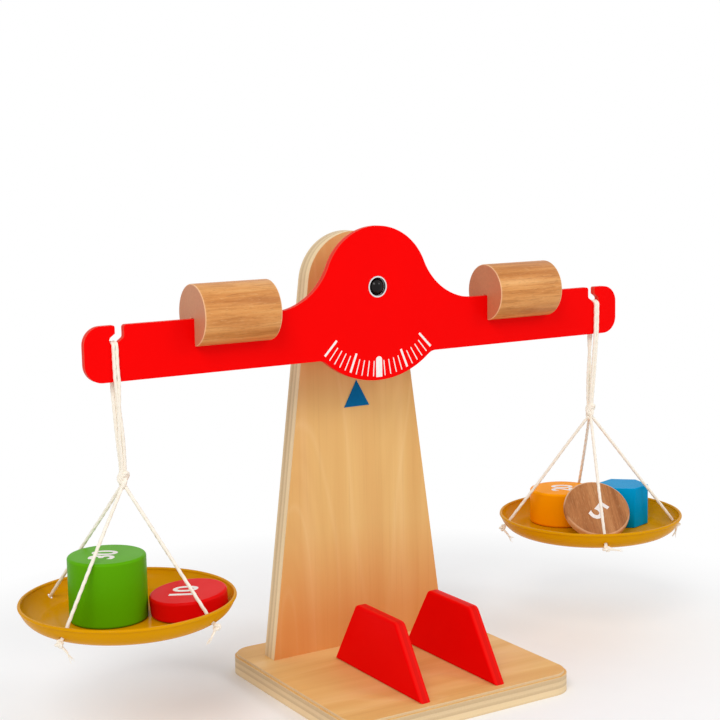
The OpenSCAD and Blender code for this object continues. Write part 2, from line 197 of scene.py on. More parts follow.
def plywood(name, layer, grain, low, high, painted_foot_shade=None):
    """Sliced veneer with its grain along one axis, and soft layers on the cut edges.

    Low and high are the sheet's sides on the layer axis. The last argument is the two
    heights, in metres, between which a warmer, darker tone at the foot fades out: painted
    shade and painted red bounce light from the rack boards.
    """
    ring_count = 8.0
    t = Tree(name, Roughness=0.5, Specular_IOR_Level=0.18)
    stretch = along_grain(grain, 70.0, 2.6)
    figure = t.noise(t.place(stretch), 3, 0.45, 0.3)
    lines = t.noise(t.place(along_grain(grain, 700.0, 12.0)))
    wide = t.noise(t.place([s * 0.3 for s in stretch]), 2, 0.5, 0.5)
    slow = t.noise(t.place(along_grain(grain, 17.0, 3.4)), 1, 0.35, 0.2)
    ring = t.math("FRACT", t.math("MULTIPLY", slow, ring_count))
    rings = t.math("ABSOLUTE", t.math("SUBTRACT", ring, 0.5))
    face = t.ramp(figure, (0.3, srgb(224, 176, 107)), (0.5, srgb(231, 187, 118)),
                  (0.74, srgb(238, 198, 134)))
    face = t.wash(face, srgb(219, 161, 92), wide, (0.44, 0.0), (0.68, 0.45))
    face = t.wash(face, srgb(246, 214, 160), rings, (0.0, 0.15), (0.08, 0.0))
    face = t.wash(face, srgb(210, 152, 88), rings, (0.12, 0.0), (0.34, 0.15), (0.5, 0.04))
    face = t.wash(face, srgb(196, 138, 80), lines, (0.54, 0.0), (0.74, 0.2))
    # Warmer and darker toward the foot: painted shade and painted red bounce light from the rack
    # boards.
    if painted_foot_shade:
        height = t.part(t.at, grain)
        face = t.wash(face, srgb(220, 126, 56), height, (painted_foot_shade[0], 0.55), (painted_foot_shade[1], 0.0))

    across = t.math("DIVIDE", t.math("SUBTRACT", t.part(t.at, layer), low), high - low)
    depth = t.math("ADD", across, t.math("MULTIPLY", t.cloud(30, 2), 0.05))
    cut = t.cloud(900, 2)
    pale = t.mix(cut, srgb(242, 217, 175), srgb(234, 206, 162))
    dark = t.mix(cut, srgb(212, 184, 144), srgb(196, 167, 127))
    edge = t.wash(pale, dark, depth, (0.1, 0.25), (0.14, 0.0), (0.34, 0.05), (0.38, 0.85),
                  (0.5, 0.6), (0.54, 0.35), (0.66, 0.45), (0.7, 1.0), (0.86, 0.8), (0.9, 0.45))
    t.set("Base Color", t.mix(t.facing(layer), edge, face))
    t.set("Roughness", t.ramp(figure, (0.3, 0.52), (0.8, 0.42)))
    t.bump(lines, 0.1, 0.3)
    return t.mat


def solid_wood(name, grain, end_color, tones, turn=(0, 0, 0), seed=0.0, rim=0.0, gloss=0.18):
    """Beech: long soft bands, short fine flecks, and a redder end grain.

    The tones are light, middle and dark. Rim is the strength of a painted highlight, a
    pale line where the surface turns toward the end grain.
    """
    light, mid, dark = tones
    t = Tree(name, Roughness=0.46, Specular_IOR_Level=gloss)
    shift = (seed, seed * 0.7, seed * 1.3)
    base = t.node("Mapping", {"Vector": t.at, "Rotation": turn, "Location": shift}).outputs[0]

    def streaks(across, along, *look):
        ins = {"Vector": base, "Scale": along_grain(grain, across, along)}
        return t.noise(t.node("Mapping", ins).outputs[0], *look)

    bands = streaks(110, 6, 4, 0.55, 0.4)
    waves = streaks(640, 40, 3, 0.6, 0.9)
    fleck = streaks(1900, 320, 2, 0.5)
    pore = streaks(2400, 260, 1, 0.5)
    side = t.ramp(bands, (0.32, dark), (0.5, mid), (0.68, light))
    side = t.wash(side, darker(dark, 0.82), waves, (0.46, 0.0), (0.68, 0.5))
    side = t.wash(side, darker(dark, 0.6), fleck, (0.58, 0.0), (0.7, 0.3))
    side = t.wash(side, srgb(242, 198, 140), pore, (0.6, 0.0), (0.74, 0.25))
    ends = t.mix(t.cloud(700), end_color, darker(end_color, 0.78))
    normal = t.normal
    if any(turn):
        normal = t.node("Mapping", {"Vector": normal, "Rotation": turn}).outputs[0]
    along = t.math("ABSOLUTE", t.part(normal, grain))
    color = t.wash(side, ends, along, (0.75, 0.0), (0.9, 1.0))
    # A painted highlight: a pale line on the chamfer toward the end grain.
    if rim:
        color = t.wash(color, srgb(250, 204, 160), along, (0.12, 0.0), (0.3, rim), (0.9, rim),
                       (0.98, 0.0))
    t.set("Base Color", color)
    t.set("Roughness", t.ramp(bands, (0.3, 0.46), (0.8, 0.36)))
    t.bump(t.math("ADD", fleck, bands), 0.1)
    return t.mat


def paint(name, color, grain, rough=0.36, cut=None, worn=0.05, gloss=0.05):
    """Lacquer over wood: a little uneven, with the wood's pores just showing.

    Cut is the axis, the two sides and the edge colour of plywood whose layers show. The
    edge colour is paler than the face: ply layers with a painted highlight on the cut edges.
    """
    t = Tree(name, Roughness=rough, Specular_IOR_Level=gloss)
    cloud = t.cloud(28, 4)
    base = t.mix(cloud, color, darker(color, 1 - worn * 1.6))
    if cut:
        axis, low, high, highlit_edge_color = cut
        layer_count = 1.5
        across = t.math("SUBTRACT", t.part(t.at, axis), low)
        ply = t.math("FRACT", t.math("DIVIDE", across, (high - low) / layer_count))
        # The cut edges' paler colour is partly a painted highlight; the bands are the ply layers.
        edge = t.wash(highlit_edge_color, darker(highlit_edge_color, 0.86), ply, (0.42, 0.0), (0.5, 1.0),
                      (0.92, 1.0), (1.0, 0.0))
        base = t.mix(t.facing(axis, 0.5, 0.12), edge, base)
    t.set("Base Color", base)
    pores = t.noise(t.place(along_grain(grain, 420.0, 40.0)))
    peel = t.math("MULTIPLY", t.cloud(1100, 1), 0.4)
    t.set("Roughness", t.ramp(cloud, (0.25, rough - 0.05), (0.8, rough + 0.07)))
    t.bump(t.math("ADD", pores, peel), 0.08)
    return t.mat


def enamel(name, color):
    """Thick stove enamel on sheet metal, with a faint wave."""
    t = Tree(name, Roughness=0.26, Specular_IOR_Level=0.02, Coat_Weight=0.05, Coat_Roughness=0.05)
    cloud = t.cloud(22)
    t.set("Base Color", t.mix(cloud, color, darker(color, 0.88)))
    t.set("Roughness", t.ramp(cloud, (0.3, 0.22), (0.8, 0.32)))
    t.bump(t.cloud(160, 2), 0.1, 0.3)
    return t.mat


def cotton_yarn():
    """Off-white cotton with short darker fibres."""
    t = Tree("cotton_yarn", Roughness=0.95, Specular_IOR_Level=0.1, Sheen_Weight=0.15,
             Sheen_Roughness=0.5)
    fibre = t.noise(t.place((2600, 2600, 900)), 3, 0.7)
    base = t.mix(t.cloud(220, 2), srgb(252, 246, 235), srgb(244, 234, 216))
    t.set("Base Color", t.wash(base, srgb(222, 203, 176), fibre, (0.5, 0.0), (0.75, 0.32)))
    t.bump(fibre, 0.3)
    return t.mat


def metal(name, color, rough, scratch):
    """Plain steel with fine scratches, whose scale is given for each axis."""
    t = Tree(name, Roughness=rough, Metallic=1.0)
    lines = t.noise(t.place(scratch))
    t.set("Base Color", t.mix(lines, color, darker(color, 0.78)))
    t.set("Roughness", t.ramp(lines, (0.3, rough - 0.06), (0.8, rough + 0.1)))
    t.bump(lines, 0.06, 0.1)
    return t.mat


def bush_metal(color, recess_shade):
    """Bright turned steel, with painted shade: a dark colour in the recess round the bolt's head.
    """
    t = Tree("bright_steel", Roughness=0.2, Metallic=1.0)
    lines = t.noise(t.place((800, 100, 800)))
    flat = t.node("VectorMath", {0: t.at, 1: (1, 0, 1)}, operation="MULTIPLY").outputs[0]
    ins = {0: flat, 1: (0, 0, PIVOT * MM)}
    reach = t.node("VectorMath", ins, operation="DISTANCE").outputs["Value"]
    # Inside the recess radius the steel takes the dark colour: painted shade.
    in_shaded_recess = t.math("LESS_THAN", reach, BUSH_RECESS_R * MM)
    t.set("Base Color", t.mix(in_shaded_recess, t.mix(lines, color, darker(color, 0.8)), recess_shade))
    t.set("Roughness", t.ramp(lines, (0.3, 0.14), (0.8, 0.3)))
    t.bump(lines, 0.06, 0.1)
    return t.mat


def black_head():
    """Glossy black lacquer on the bolt."""
    t = Tree("black_lacquer", Roughness=0.2, Specular_IOR_Level=0.04, Coat_Weight=0.3,
             Coat_Roughness=0.03)
    cloud = t.cloud(900)
    t.set("Base Color", t.mix(cloud, srgb(7, 5, 5), srgb(18, 13, 13)))
    t.bump(cloud, 0.05, 0.1)
    return t.mat


def plastic(name, color):
    """Moulded plastic with a fine matt grain."""
    t = Tree(name, Roughness=0.34, Specular_IOR_Level=0.015)
    t.set("Base Color", t.mix(t.cloud(60), color, darker(color, 0.9)))
    grain = t.cloud(1500, 2)
    t.set("Roughness", t.ramp(grain, (0.3, 0.26), (0.75, 0.36)))
    t.bump(grain, 0.06, 0.1)
    return t.mat


def print_ink(name, color):
    """A thin print whose cover isn't quite even."""
    t = Tree(name, Roughness=0.45, Specular_IOR_Level=0.05)
    cloud = t.cloud(500, 4, 0.7)
    t.set("Base Color", t.wash(color, darker(color, 0.84), cloud, (0.45, 0.0), (0.8, 1.0)))
    t.bump(cloud, 0.08, 0.1)
    return t.mat


# Light, middle and dark tones
beech = (srgb(234, 176, 108), srgb(214, 145, 79), srgb(182, 111, 50))
# Darker beech for the disc: painted shade where it lies in the pan.
shaded_disc_beech = (srgb(196, 136, 86), srgb(182, 119, 70), srgb(152, 93, 50))


def bounds_of(node, axis):
    low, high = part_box(node)
    return low[axis], high[axis]


def red_board(side):
    edge = (0, *bounds_of(side + "_rack_board", 0), srgb(236, 24, 18))
    return paint("red_lacquer_" + side + "_board", srgb(240, 3, 3), 1, 0.34, edge, gloss=0.015)


def rider_wood(side, end_color, seed):
    name = "beech_" + side + "_rider"
    # The riders' chamfered ends get a pale painted highlight.
    return solid_wood(name, 0, end_color, beech, seed=seed, rim=0.7, gloss=0.22)


disc_frame = (Matrix.Rotation(math.radians(-DISC_TURN), 3, "Z")
              @ Matrix.Rotation(math.radians(90 - DISC_LEAN), 3, "X"))
white_ink = print_ink("white_print", srgb(246, 240, 236))
cotton = cotton_yarn()
screw_steel = metal("screw_steel", srgb(196, 196, 200), 0.3, (700, 700, 90))
# The beam's cut edges are pale pink: the ply edge with a painted highlight where it catches the
# light.
red_beam = paint("red_lacquer_beam", srgb(249, 2, 2), 0, gloss=0.03,
                 cut=(1, *bounds_of("beam_plate", 1), srgb(236, 66, 50)))
finishes = {
    "base_board": plywood("plywood_base", 2, 0, *bounds_of("base_board", 2)),
    # The post's foot gets painted warm shade and red bounce light, fading out between 30 and 85 mm.
    "post": plywood("plywood_post", 1, 2, *bounds_of("post", 1), painted_foot_shade=(0.03, 0.085)),
    "left_rack_board": red_board("left"),
    "right_rack_board": red_board("right"),
    "left_rider": rider_wood("left", srgb(208, 144, 106), 0.31),
    "right_rider": rider_wood("right", srgb(206, 130, 90), 1.7),
    "pivot_spacer": solid_wood("beech_spacer", 1, srgb(190, 122, 90), beech, seed=0.9),
    # The disc: darker beech as painted shade, and a pale painted highlight at its rim.
    "wooden_disc": solid_wood("beech_disc", 1, srgb(206, 150, 104), shaded_disc_beech,
                              turn=disc_frame.transposed().to_euler(), seed=2.3, rim=0.55),
    "left_pan": enamel("yellow_enamel_left", srgb(221, 154, 0)),
    "right_pan": enamel("yellow_enamel_right", srgb(221, 154, 0)),
    "green_weight": paint("green_lacquer", srgb(92, 170, 2), 2),
    "red_weight": paint("red_lacquer_weight", srgb(230, 8, 6), 2, 0.38),
    "orange_weight": paint("orange_lacquer", srgb(255, 158, 0), 2, worn=0.01, gloss=0.02),
    "blue_hexagon": plastic("blue_plastic", srgb(0, 156, 214)),
    "pointer_triangle": print_ink("blue_print", srgb(0, 104, 158)),
    "pivot_bolt": black_head(),
    # The second colour is painted shade in the bush's recess.
    "beam_bush": bush_metal(srgb(240, 240, 240), srgb(34, 28, 26)),
    "pivot_washer": metal("washer_steel", srgb(205, 205, 208), 0.3, (300, 100, 300)),
    "pivot_nut": metal("nut_steel", srgb(198, 198, 202), 0.32, (600, 80, 600)),
}
for name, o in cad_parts.items():
    finish = finishes.get(name) or (screw_steel if "screw" in name else None)
    if finish:
        if not o.material_slots:
            o.data.materials.append(finish)
        for slot in o.material_slots:
            slot.material = finish

# Softly rounded edges on the cut pieces: width in millimetres, and steps of the rounding
for name, width, steps in (
    ("post", 0.5, 3), ("base_board", 0.5, 2), ("left_rider", 0.7, 3), ("right_rider", 0.7, 3),
    ("blue_hexagon", 0.6, 3), ("pivot_nut", 0.3, 2),
):
    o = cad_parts[name]
    weld = o.modifiers.new("join", "WELD")
    weld.merge_threshold = JOIN_GAP * MM
    flat = o.modifiers.new("flat_faces", "DECIMATE")
    flat.decimate_type = "DISSOLVE"
    flat.angle_limit = math.radians(FLAT_BELOW)
    soft = o.modifiers.new("round", "BEVEL")
    soft.width = width * MM
    soft.segments = steps
    soft.limit_method = "ANGLE"
    soft.angle_limit = math.radians(ROUND_ABOVE)


# Mesh helpers


def moved(x, y, z):
    """A move in millimetres."""
    return Matrix.Translation((x * MM, y * MM, z * MM))


def turned(degrees, axis="Z"):
    return Matrix.Rotation(math.radians(degrees), 4, axis)


def placed(name, data):
    """An object of its own in the scene."""
    o = bpy.data.objects.new(name, data)
    bpy.context.scene.collection.objects.link(o)
    return o


def piece(name, verts, faces, material, smooth=True):
    mesh = bpy.data.meshes.new(name)
    mesh.from_pydata([tuple(map(float, v)) for v in verts], [], [tuple(map(int, f)) for f in faces])
    mesh.update()
    if smooth:
        mesh.shade_smooth()
        mesh.set_sharp_from_angle(angle=math.radians(SMOOTH_BELOW))
    mesh.materials.append(material)
    return placed(name, mesh)


def mesh_of(name, curve_data, material):
    """The mesh of a curve or text, which is then taken away."""
    tmp = placed(name + "_outline", curve_data)
    bpy.context.view_layer.update()
    evaluated = tmp.evaluated_get(bpy.context.evaluated_depsgraph_get())
    mesh = bpy.data.meshes.new_from_object(evaluated)
    bpy.data.objects.remove(tmp)
    bpy.data.curves.remove(curve_data)
    mesh.name = name
    mesh.materials.clear()
    mesh.materials.append(material)
    return mesh


def plate(name, loops, thick, soft, place, material):
    """A flat plate with rounded edges, drawn in the XY plane and then put in its place."""
    curve = bpy.data.curves.new(name, "CURVE")
    curve.dimensions = "2D"
    curve.fill_mode = "BOTH"
    curve.extrude = (thick / 2 - soft) * MM
    curve.bevel_depth = soft * MM
    curve.bevel_resolution = 3
    curve.offset = -soft * MM
    for loop in loops:
        spline = curve.splines.new("POLY")
        spline.points.add(len(loop) - 1)
        for point, (x, y) in zip(spline.points, loop):
            point.co = (x * MM, y * MM, 0, 1)
        spline.use_cyclic_u = True
    mesh = mesh_of(name, curve, material)
    mesh.transform(place)
    mesh.shade_smooth()
    mesh.set_sharp_from_angle(angle=math.radians(PLATE_SMOOTH_BELOW))
    return placed(name, mesh)


def arc(cx, cz, r, a0, a1, steps):
    """Points on an arc, from one angle in degrees to the other."""
    return [(cx + r * math.cos(math.radians(a0 + (a1 - a0) * i / steps)),
             cz + r * math.sin(math.radians(a0 + (a1 - a0) * i / steps))) for i in range(steps + 1)]


# The beam plate: the same outline as the CAD plate, with a hooked string slot and soft edges


def half_outline():
    """From the lobe's lowest point, up round the right end, to the top of the dome."""
    lobe_z = ARM_BOTTOM - LOBE_FILLET
    lobe_x = math.sqrt((LOBE_R + LOBE_FILLET) ** 2 - lobe_z**2)
    lobe_angle = math.degrees(math.atan2(lobe_z, lobe_x))
    dome_z = ARM_TOP + DOME_FILLET
    dome_x = math.sqrt((DOME_R + DOME_FILLET) ** 2 - dome_z**2)
    dome_angle = math.degrees(math.atan2(dome_z, dome_x))
    outer_wall = SLOT_X + MOUTH_W
    points = arc(0, 0, LOBE_R, -90, lobe_angle, 40)
    points += arc(lobe_x, lobe_z, LOBE_FILLET, lobe_angle + 180, 90, 12)[1:]
    points += arc(HALF_LEN - END_R, ARM_BOTTOM + END_R, END_R, -90, 0, 14)
    points += arc(HALF_LEN - END_R, ARM_TOP - END_R, END_R, 0, 90, 14)
    points += arc(outer_wall + OUTER_LIP_R, ARM_TOP - OUTER_LIP_R, OUTER_LIP_R, 90, 180, 6)
    points += [(outer_wall, POCKET_Z + OUTER_WALL_END)]
    points += arc(POCKET_X, POCKET_Z, POCKET_R, POCKET_FROM, POCKET_TO, 22)
    points += [(SLOT_X + x, ARM_TOP - drop) for x, drop in INNER_WALL_BEND]
    points += arc(SLOT_X - INNER_LIP_R, ARM_TOP - INNER_LIP_R, INNER_LIP_R, 0, 90, 8)
    points += arc(dome_x, dome_z, DOME_FILLET, 270, 180 + dome_angle, 26)
    points += arc(0, 0, DOME_R, dome_angle, 90, 44)[1:]
    return points


right = half_outline()
left = [(-x, z) for x, z in reversed(right)][1:-1]
bush_r = (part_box("beam_bush")[1][0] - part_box("beam_bush")[0][0]) / 2 / MM
hole = arc(0, 0, bush_r, 360, 0, 64)[:-1]
upright = moved(0, 0, PIVOT) @ turned(90, "X")
beam = plate("beam_plate_rounded", [right + left, hole], PLATE_T, PLATE_SOFT, upright, red_beam)
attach(beam, "beam")
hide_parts("beam_plate")


# The rack boards: the same outline as in CAD, with rounded top corners and soft edges


def board_outline(y0, y1, z0, z1):
    """Level top and sloping ends, seen from the side."""
    slope = math.degrees(math.atan2(z1 - z0, SLOPE_LEN))
    inset = CORNER_R * math.tan(math.radians(slope / 2))
    back_y, front_y, corner_z = y1 - SLOPE_LEN - inset, y0 + SLOPE_LEN + inset, z1 - CORNER_R
    return ([(y0, z0), (y1, z0)] + arc(back_y, corner_z, CORNER_R, 90 - slope, 90, 8)
            + arc(front_y, corner_z, CORNER_R, 90, 90 + slope, 8))


SIDEWAYS = Matrix(((0, 0, 1, 0), (1, 0, 0, 0), (0, 1, 0, 0), (0, 0, 0, 1)))
for name in ("left_rack_board", "right_rack_board"):
    lo, hi = (Vector(c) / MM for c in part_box(name))
    across = moved((lo.x + hi.x) / 2, 0, 0) @ SIDEWAYS
    outline = board_outline(lo.y, hi.y, lo.z, hi.z)
    board = plate(name + "_rounded", [outline], hi.x - lo.x, BOARD_SOFT, across, finishes[name])
    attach(board, "stand")
    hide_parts(name)


# Dial marks on the lobe: ten to each side of a broad centre mark


def bar(angle, foot, top, width, round_r):
    """Outline of one mark in the plane, seen from the front, with a rounded upper end."""
    h = width / 2
    points = [(-h, -foot), (h, -foot)]
    points += arc(h - round_r, -top - round_r, round_r, 0, 90, 4)
    points += arc(round_r - h, -top - round_r, round_r, 90, 180, 4)
    c, s = math.cos(math.radians(angle)), math.sin(math.radians(angle))
    return [(x * c - z * s, x * s + z * c) for x, z in points]


marks_v, marks_f = [], []
for i in range(-SIDE_MARKS, SIDE_MARKS + 1):
    if i == 0:
        outline = bar(0, MARK_FOOT + MIDDLE_MARK_DROP, MARK_LONG, MIDDLE_MARK_W, MIDDLE_MARK_R)
    elif i % LONG_EVERY == 0:
        outline = bar(i * MARK_PITCH, MARK_FOOT, MARK_LONG, LONG_MARK_W, MARK_R)
    else:
        outline = bar(i * MARK_PITCH, MARK_FOOT, MARK_TOP, SHORT_MARK_W, MARK_R)
    n, base = len(outline), len(marks_v)
    for y in (-PLATE_T / 2, -PLATE_T / 2 - MARK_INK_T):
        marks_v += [(x * MM, y * MM, (PIVOT + z) * MM) for x, z in outline]
    marks_f.append([base + n + k for k in range(n)])
    for k in range(n):
        following = (k + 1) % n
        marks_f.append((base + k, base + following, base + n + following, base + n + k))
marks = piece("dial_marks", marks_v, marks_f, white_ink, smooth=False)
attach(marks, "beam")


# Cotton strings


def smooth_line(points):
    """A smooth line through the points, sampled evenly."""
    step = STRING_STEP * MM
    p = np.array(points, float)
    ext = np.vstack([2 * p[0] - p[1], p, 2 * p[-1] - p[-2]])
    out = []
    for a, b, c, d in zip(ext, ext[1:], ext[2:], ext[3:]):
        n = max(4, int(np.linalg.norm(c - b) / step * 2))
        for t in np.linspace(0, 1, n, endpoint=False):
            out.append(0.5 * (2 * b + (c - a) * t + (2 * a - 5 * b + 4 * c - d) * t**2
                              + (3 * b - a - 3 * c + d) * t**3))
    out.append(p[-1])
    out = np.array(out)
    s = np.concatenate([[0], np.cumsum(np.linalg.norm(np.diff(out, axis=0), axis=1))])
    q = np.linspace(0, s[-1], max(3, int(s[-1] / step) + 1))
    return np.stack([np.interp(q, s, out[:, k]) for k in range(3)], axis=1)


def jitter(rng, reach):
    """A small random move, up to the reach on each axis."""
    return np.array([rng.uniform(-reach, reach) for _ in range(3)])


class Yarn:
    """Gathers twisted strands into one mesh."""

    ASKEW = (0.31, 0.87, 0.38)
    KNOT_POINTS = 40
    FIBRES, FIBRE_SHARE = 6, 0.3

    def __init__(self):
        self.v, self.f = [], []

    def strand(self, points, r, lobes=3, sides=STRING_SIDES, depth=TWIST_DEPTH, thin=0.0,
               phase=0.0):
        """A round string with twisted lobes. Thin is the share it loses toward its end."""
        p = smooth_line(points)
        n = len(p)
        tangent = np.gradient(p, axis=0)
        tangent /= np.linalg.norm(tangent, axis=1)[:, None]
        side = np.cross(tangent[0], self.ASKEW)
        side /= np.linalg.norm(side)
        base = len(self.v)
        s = 0.0
        for i in range(n):
            side = side - tangent[i] * np.dot(side, tangent[i])
            side /= np.linalg.norm(side)
            up = np.cross(tangent[i], side)
            if i:
                s += np.linalg.norm(p[i] - p[i - 1])
            share = 1 - thin * i / (n - 1)
            for k in range(sides):
                a = 2 * math.pi * k / sides
                twist = lobes * a - 2 * math.pi * s / (TWIST_PITCH * MM) + phase
                rr = r * share * (1 - depth + depth * math.cos(twist))
                self.v.append(p[i] + rr * (math.cos(a) * side + math.sin(a) * up))
        for i in range(n - 1):
            for k in range(sides):
                a, b = base + i * sides + k, base + i * sides + (k + 1) % sides
                self.f.append((a, b, b + sides, a + sides))
        self.f.append(tuple(base + k for k in range(sides - 1, -1, -1)))
        self.f.append(tuple(base + (n - 1) * sides + k for k in range(sides)))

    def knot(self, center, across, up, width, height, depth, r, twin=0.0, phase=0.0):
        """An overhand knot drawn tight: the string passes round and through itself.

        With twin, two strings lie side by side, that far to each side of the middle.
        """
        across, up = np.array(across, float), np.array(up, float)
        across /= np.linalg.norm(across)
        up /= np.linalg.norm(up)
        out = np.cross(across, up)
        for off in ((-twin, twin) if twin else (0.0,)):
            t = np.linspace(0, 2 * math.pi, self.KNOT_POINTS) + phase
            x = (np.sin(t) + 2 * np.sin(2 * t)) / 3 * width + off * 0.5
            y = (np.cos(t) - 2 * np.cos(2 * t)) / 3 * height + off
            z = -np.sin(3 * t) * depth
            self.strand([np.array(center) + across * x[i] + up * y[i] + out * z[i]
                         for i in range(len(t))], r)

    def fray(self, start, way, length, r, rng):
        """A short tail that opens into loose fibres."""
        halfway, closed, root, spread, curl, fibre_len = 0.3, 0.55, 0.5, 0.5, 0.4, (0.35, 0.65)
        start, way = np.array(start, float), np.array(way, float)
        way /= np.linalg.norm(way)
        mid = start + way * length * closed
        self.strand([start, start + way * length * halfway, mid], r, thin=0.15)
        for _ in range(self.FIBRES):
            aim = way + jitter(rng, spread)
            aim /= np.linalg.norm(aim)
            end = mid + aim * length * rng.uniform(*fibre_len)
            bend = (mid + end) / 2 + jitter(rng, curl) * MM
            self.strand([mid - way * root * MM, bend, end], r * self.FIBRE_SHARE, lobes=1,
                        sides=6, depth=0.0, thin=0.6)

    def build(self, name):
        return piece(name, self.v, self.f, cotton)


def hanging_strands(side, name):
    """Two strings folded over the slot's pocket, their four legs gathered at the main knot."""
    lo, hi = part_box(name + "_knot")
    kx, kz = (lo[0] + hi[0]) / 2, (lo[2] + hi[2]) / 2
    fold_x, fold_z = side * POCKET_X * MM, (PIVOT + POCKET_Z - POCKET_R + STRING_R) * MM
    arm_z = (PIVOT + ARM_BOTTOM) * MM
    # Share of the way from knot to fold, spread, distance from the middle plane, height
    route = (
        (0.0, 0.75, 0.9, kz + 3.2 * MM),
        (0.0, 0.85, 1.3, kz + 9 * MM),
        (0.35, 0.95, 2.1, kz + 25 * MM),
        (0.8, 0.95, 3.0, arm_z - 2 * MM),
        (0.95, 1.0, 3.0, arm_z + 7 * MM),
        (1.0, 1.0, 3.0, fold_z - 5 * MM),
        (1.0, 1.0, 2.95, fold_z - 1.2 * MM),
        (1.0, 1.0, 2.0, fold_z + 0.05 * MM),
    )
    string_gap, cross_below, turn_between = 0.92, 0.5, 1.7

    def leg(face, off, crossed):
        """One strand from the knot to the fold; a crossed one changes sides on its way."""
        points = []
        for share, spread, out, z in route:
            shift = -off if crossed and share < cross_below else off
            x = kx + (fold_x - kx) * share + shift * spread * MM
            points.append((x, face * out * MM, z))
        return points

    yarn = Yarn()
    for k, off in enumerate((-string_gap, string_gap)):
        front, back = leg(-1, off, side < 0), leg(1, off, side > 0)
        over = [(fold_x + off * MM, 0, fold_z + 0.3 * MM)]
        yarn.strand(front + over + back[::-1], STRING_R * MM, phase=k * turn_between)
    o = yarn.build(name + "_hanging_strands")
    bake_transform(o)
    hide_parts(name + "_loop")

    knot = Yarn()
    knot.knot((kx, 0, kz), across=(0.9, -0.45, 0), up=(0.12, 0, 1), width=2.2 * MM,
              height=4.3 * MM, depth=1.5 * MM, r=1.1 * MM, twin=0.55 * MM)
    # Four strands wind down through the knot: radius, quarter turns and height
    for start in (40, 130, 220, 310):
        points = []
        for radius, quarters, z in ((1.2, 0, 5.0), (1.6, 0, 1.5), (1.5, 1, -1.5), (1.2, 3, -4.8)):
            a = math.radians(start + 90 * quarters)
            x, y = radius * math.cos(a) * MM, radius * math.sin(a) * MM
            points.append((kx + x, y, kz + z * MM))
        knot.strand(points, 0.95 * MM)
    o = knot.build(name + "_main_knot")
    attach(o, name + "_hanger")
    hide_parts(name + "_knot")
    return kx, kz


def pan_strands(name, turn, kx, kz, seed, tails):
    """Four strings from the main knot through the pan's holes, each with an end knot outside.

    The tails say how far each frayed end runs along the rim, down, and back inward.
    """
    top_drop, top_reach, sway = 3.4, 0.8, 0.12
    before_hole, hole_slack, beyond_hole = (-1.2, 1.6), 0.1, (2.3, -2.0)
    tail_start, tail_len, tail_r = 1.2, (8.0, 10.0), 0.75
    rng = random.Random(seed)
    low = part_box(name + "_pan")[0][2]
    a = math.radians(HOLE_ANGLE)
    r_in, z_in = FLOOR_R + (ARC_R - SHEET) * math.sin(a), ARC_R - (ARC_R - SHEET) * math.cos(a)
    r_out, z_out = FLOOR_R + ARC_R * math.sin(a), ARC_R - ARC_R * math.cos(a)
    yarn = Yarn()
    for i, (along, drop, inward) in enumerate(tails):
        phi = math.radians(turn + 90 * i)
        out = np.array([math.cos(phi), math.sin(phi), 0.0])
        rim = np.array([-out[1], out[0], 0.0])

        def at(r, z):
            return np.array([kx, 0, low]) + out * r * MM + np.array([0, 0, z * MM])

        top = np.array([kx, 0, kz - top_drop * MM]) + out * top_reach * MM
        inner = at(r_in + before_hole[0], z_in + before_hole[1])
        knot_at = at(r_out + beyond_hole[0], z_out + beyond_hole[1])
        path = [top]
        for share in (0.08, 0.3, 0.55, 0.8):
            path.append(top + (inner - top) * share + jitter(rng, sway) * MM)
        path += [inner, at((r_in + r_out) / 2 + hole_slack, (z_in + z_out) / 2), knot_at]
        yarn.strand(path, STRING_R * MM, phase=i)
        downhill = out * 0.7 + np.array([0, 0, -0.7])
        yarn.knot(knot_at, across=rim, up=downhill, width=1.95 * MM, height=1.7 * MM,
                  depth=0.85 * MM, r=0.86 * MM, phase=i * 0.8)
        way = rim * along + np.array([0, 0, -drop]) - out * inward
        start = knot_at + way / np.linalg.norm(way) * tail_start * MM
        yarn.fray(start, way, rng.uniform(*tail_len) * MM, tail_r * MM, rng)
    o = yarn.build(name + "_pan_strands")
    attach(o, name + "_pan")
    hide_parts(name + "_strings")


for side, name, turn, seed, tails in (
    (-1, "left", 30, 3, ((0.6, 0.8, 0.2), (-0.5, 0.9, 0.3), (0.7, 0.8, 0.2), (-0.6, 0.7, 0.1))),
    (1, "right", 60, 8, ((-0.5, 0.9, 0.2), (0.3, 0.75, 0.6), (0.95, 0.2, 0.0), (-0.6, 0.8, 0.3))),
):
    kx, kz = hanging_strands(side, name)
    pan_strands(name, turn, kx, kz, seed, tails)


# Numbers on the weights


def number(name, text, body, matrix):
    """A printed number, its middle at the matrix's origin."""
    lettering = bpy.data.curves.new(name, "FONT")
    lettering.body = text
    lettering.size = NUMBER_H / CAPITAL_SHARE * MM
    lettering.align_x, lettering.align_y = "CENTER", "CENTER"
    lettering.offset = NUMBER_BOLD * MM
    lettering.extrude = NUMBER_INK_T * MM
    lettering.space_character = NUMBER_GAP
    mesh = mesh_of(name, lettering, white_ink)
    low = Vector([min(v.co[k] for v in mesh.vertices) for k in range(3)])
    high = Vector([max(v.co[k] for v in mesh.vertices) for k in range(3)])
    mesh.transform(matrix @ Matrix.Translation(-(low + high) / 2))
    o = placed(name, mesh)
    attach(o, body)


def top_of(node):
    lo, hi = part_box(node)
    return Vector(((lo[0] + hi[0]) / 2, (lo[1] + hi[1]) / 2, hi[2]))


# The upright weights' numbers, with their turn and their move off the middle
for node, text, turn, move in (
    ("green_weight", "30", 57, (-1.9, -0.2)), ("orange_weight", "20", 52, (0, 0)),
):
    on_top = Matrix.Translation(top_of(node)) @ moved(*move, NUMBER_LIFT)
    number(node + "_number", text, node, on_top @ turned(turn))

